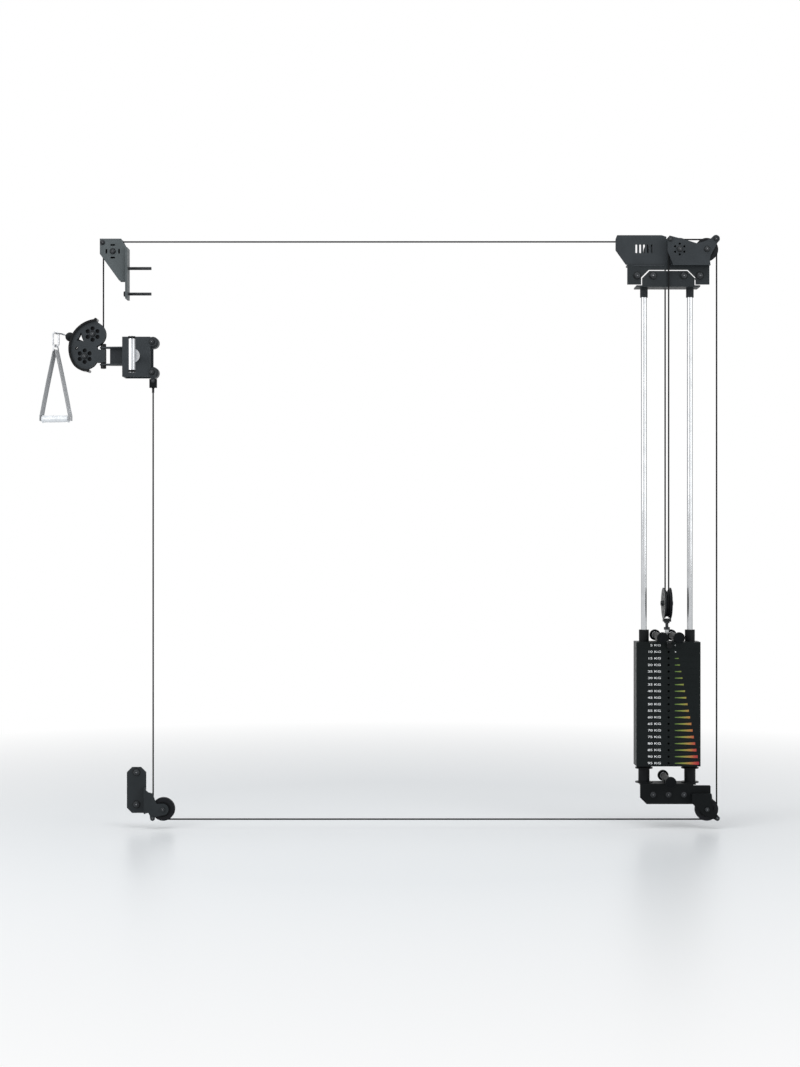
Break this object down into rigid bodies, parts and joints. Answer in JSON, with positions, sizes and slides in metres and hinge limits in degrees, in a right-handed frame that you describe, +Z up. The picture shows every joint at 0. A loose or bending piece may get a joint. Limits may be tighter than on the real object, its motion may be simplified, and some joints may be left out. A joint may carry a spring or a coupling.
{
  "type": "cable pulley attachment",
  "caption": "Rack-mounted cable pulley set: weight stack on guide rods, one cable over pulleys, sliding carriage with swivel head and a strap handle.",
  "frame": {"origin": "the middle bolt of the base bracket where it leaves the bracket's rear face, on the front face of the lower beam", "axes": "+X to the right along the beams, +Y back into the tube that the brackets bolt to, +Z up along the guide rods"},
  "size_m": [2.6549, 0.309, 2.2795],
  "materials": {
    "roller_nylon": "moulded",
    "satin_black_coat": "satin",
    "dark_powder_coat": "fine matt texture",
    "black_powder_coat": "fine matt texture",
    "grey_powder_coat": "fine matt texture",
    "black_guard": "satin",
    "black_peg": "satin",
    "chrome_rod": "polished",
    "chrome_fitting": "polished",
    "steel_pin": "ground",
    "black_weight": "satin",
    "black_nylon": "moulded",
    "black_rubber": "matt",
    "grey_nylon": "machined",
    "bronze": "turned",
    "zinc_wire": "zinc plated",
    "grey_webbing": "woven",
    "white_grip": "smooth",
    "black_knob": "smooth",
    "dark_steel": "satin",
    "dark_bolt": "black oxide",
    "thin_cable": "stranded",
    "black_pulley": "moulded",
    "black_cable": "coated"
  },
  "bodies": {
    "frame": {"base_bracket": "satin_black_coat", "base_pulley_plate": "satin_black_coat", "base_peg": "black_peg", "guide_rods": "chrome_rod", "stack_spools": "black_nylon", "stack_bumpers": "black_rubber", "weight_plates": "black_weight", "rod_bracket": "dark_powder_coat", "head_mount_plate": "dark_powder_coat", "head_left_cover": "black_powder_coat", "head_front_plate": "black_powder_coat", "head_back_plates": "black_powder_coat", "mount_bolts": "dark_bolt", "pulley_bolts": "dark_bolt", "pulley_bushes": "bronze", "upper_bracket": "grey_powder_coat", "lower_bracket": "dark_powder_coat", "fixed_cable": "black_cable", "cable_upper_drop": "black_cable", "cable_lower_rise": "black_cable", "cable_falls": "black_cable"},
    "base_wheel": {"base_pulley": "black_pulley"},
    "lower_wheel": {"lower_pulley": "black_pulley"},
    "upper_wheel": {"upper_pulley": "black_pulley"},
    "head_left_wheel": {"head_pulley_left": "black_pulley"},
    "head_centre_wheel": {"head_pulley_centre": "black_pulley"},
    "head_right_wheel": {"head_pulley_right": "black_pulley"},
    "carriage": {"carriage_front_plate": "black_powder_coat", "carriage_shell": "black_powder_coat", "carriage_arm": "black_powder_coat", "wear_pads": "grey_nylon", "carriage_bolts": "dark_bolt", "anchor_block": "satin_black_coat", "lock_barrel": "chrome_fitting", "lock_spring": "steel_pin"},
    "upper_roller": {"roller_upper": "roller_nylon"},
    "lower_roller": {"roller_lower": "roller_nylon"},
    "lock": {"lock_pin": "steel_pin", "lock_grip": "chrome_fitting"},
    "swivel": {"swivel_plates": "black_powder_coat", "swivel_guard": "black_guard", "swivel_bolts": "dark_bolt", "swivel_cable": "black_cable"},
    "swivel_upper_wheel": {"swivel_pulley_upper": "black_pulley"},
    "swivel_lower_wheel": {"swivel_pulley_lower": "black_pulley"},
    "cable_tail": {"ball_stop": "black_rubber", "cable_end": "thin_cable"},
    "hook": {"snap_hook": "zinc_wire"},
    "gate": {"snap_gate": "zinc_wire"},
    "handle": {"strap_ring": "zinc_wire", "handle_strap": "grey_webbing"},
    "grip": {"hand_grip": "white_grip"},
    "lift": {"head_plate": "black_weight", "bushing_tubes": "black_nylon", "selector_stem": "chrome_rod", "block_plates": "dark_steel", "block_bolts": "dark_bolt", "head_pegs": "black_peg"},
    "block_wheel": {"block_pulley": "black_pulley"},
    "selector": {"selector_pin": "black_knob"}
  },
  "joints": [
    {"name": "carriage_height", "type": "slide", "parent": "frame", "child": "carriage", "axis": [0, 0, 1], "range_m": [-1.45, 0.1], "deforming": ["cable_upper_drop", "cable_lower_rise"]},
    {"name": "stack_lift", "type": "slide", "parent": "frame", "child": "lift", "axis": [0, 0, 1], "range_m": [0, 1.1], "deforming": ["cable_falls"]},
    {"name": "swivel_turn", "type": "hinge", "parent": "carriage", "child": "swivel", "pos_m": [-2.207, 0.0375, 1.7], "axis": [0, 0, 1], "range_deg": [-85, 85]},
    {"name": "lock_pull", "type": "slide", "parent": "carriage", "child": "lock", "axis": [0, -1, 0], "range_m": [0, 0.022], "stiffness_N_per_m": 500, "springref_m": -0.02, "deforming": ["lock_spring"]},
    {"name": "cable_pull", "type": "slide", "parent": "swivel", "child": "cable_tail", "axis": [-0.9397, 0, 0.342], "range_m": [0, 2.2]},
    {"name": "hook_swing", "type": "hinge", "parent": "cable_tail", "child": "hook", "pos_m": [-2.39342, 0.0375, 1.79438], "axis": [0, 1, 0], "range_deg": [-12, 40]},
    {"name": "gate_open", "type": "hinge", "parent": "hook", "child": "gate", "pos_m": [-2.40442, 0.0375, 1.76418], "axis": [0, 1, 0], "range_deg": [0, 20], "stiffness_Nm_per_rad": 0.1, "springref_deg": -17.19},
    {"name": "handle_swing", "type": "hinge", "parent": "hook", "child": "handle", "pos_m": [-2.39342, 0.0375, 1.76038], "axis": [0, 1, 0], "range_deg": [-8, 40]},
    {"name": "grip_spin", "type": "hinge", "parent": "handle", "child": "grip", "pos_m": [-2.39342, 0.0375, 1.46598], "axis": [0.9659, -0.2588, 0], "continuous": true},
    {"name": "selector_pull", "type": "slide", "parent": "lift", "child": "selector", "axis": [0, -1, 0], "range_m": [0, 0.065]},
    {"name": "base_wheel_spin", "type": "hinge", "parent": "frame", "child": "base_wheel", "pos_m": [0.1465, -0.0125, -0.0545], "axis": [0, 1, 0], "continuous": true},
    {"name": "lower_wheel_spin", "type": "hinge", "parent": "frame", "child": "lower_wheel", "pos_m": [-1.966, -0.0125, -0.0545], "axis": [0, 1, 0], "continuous": true},
    {"name": "head_centre_spin", "type": "hinge", "parent": "frame", "child": "head_centre_wheel", "pos_m": [0.04, -0.0125, 2.121], "axis": [0, 1, 0], "continuous": true},
    {"name": "head_right_spin", "type": "hinge", "parent": "frame", "child": "head_right_wheel", "pos_m": [0.1465, -0.0125, 2.121], "axis": [0, 1, 0], "continuous": true},
    {"name": "head_left_spin", "type": "hinge", "parent": "frame", "child": "head_left_wheel", "pos_m": [-0.04, 0.0875, 2.127], "axis": [0, 1, 0], "continuous": true},
    {"name": "upper_wheel_spin", "type": "hinge", "parent": "frame", "child": "upper_wheel", "pos_m": [-2.167, 0.0375, 2.119], "axis": [0, 1, 0], "continuous": true},
    {"name": "upper_roller_spin", "type": "hinge", "parent": "carriage", "child": "upper_roller", "pos_m": [-2.0112, 0.0375, 1.763], "axis": [0, 1, 0], "continuous": true},
    {"name": "lower_roller_spin", "type": "hinge", "parent": "carriage", "child": "lower_roller", "pos_m": [-2.0112, 0.0375, 1.645], "axis": [0, 1, 0], "continuous": true},
    {"name": "swivel_upper_spin", "type": "hinge", "parent": "swivel", "child": "swivel_upper_wheel", "pos_m": [-2.247, 0.0375, 1.7965], "axis": [0, 1, 0], "continuous": true},
    {"name": "swivel_lower_spin", "type": "hinge", "parent": "swivel", "child": "swivel_lower_wheel", "pos_m": [-2.27793, 0.0375, 1.70996], "axis": [0, 1, 0], "continuous": true},
    {"name": "block_wheel_spin", "type": "hinge", "parent": "lift", "child": "block_wheel", "pos_m": [0, 0.0375, 0.744], "axis": [1, 0, 0], "continuous": true}
  ],
  "couplings": [
    {"joint": "base_wheel_spin", "follows": "carriage_height", "rad_per_m": 25},
    {"joint": "lower_wheel_spin", "follows": "carriage_height", "rad_per_m": 25},
    {"joint": "head_centre_spin", "follows": "carriage_height", "rad_per_m": 25},
    {"joint": "head_right_spin", "follows": "carriage_height", "rad_per_m": 25},
    {"joint": "upper_roller_spin", "follows": "carriage_height", "rad_per_m": -43.478},
    {"joint": "lower_roller_spin", "follows": "carriage_height", "rad_per_m": -43.478},
    {"joint": "head_left_spin", "follows": "stack_lift", "rad_per_m": -50},
    {"joint": "upper_wheel_spin", "follows": "stack_lift", "rad_per_m": -50},
    {"joint": "swivel_upper_spin", "follows": "stack_lift", "rad_per_m": 50},
    {"joint": "block_wheel_spin", "follows": "stack_lift", "rad_per_m": 20},
    {"joint": "cable_pull", "follows": "stack_lift", "ratio": 2}
  ]
}
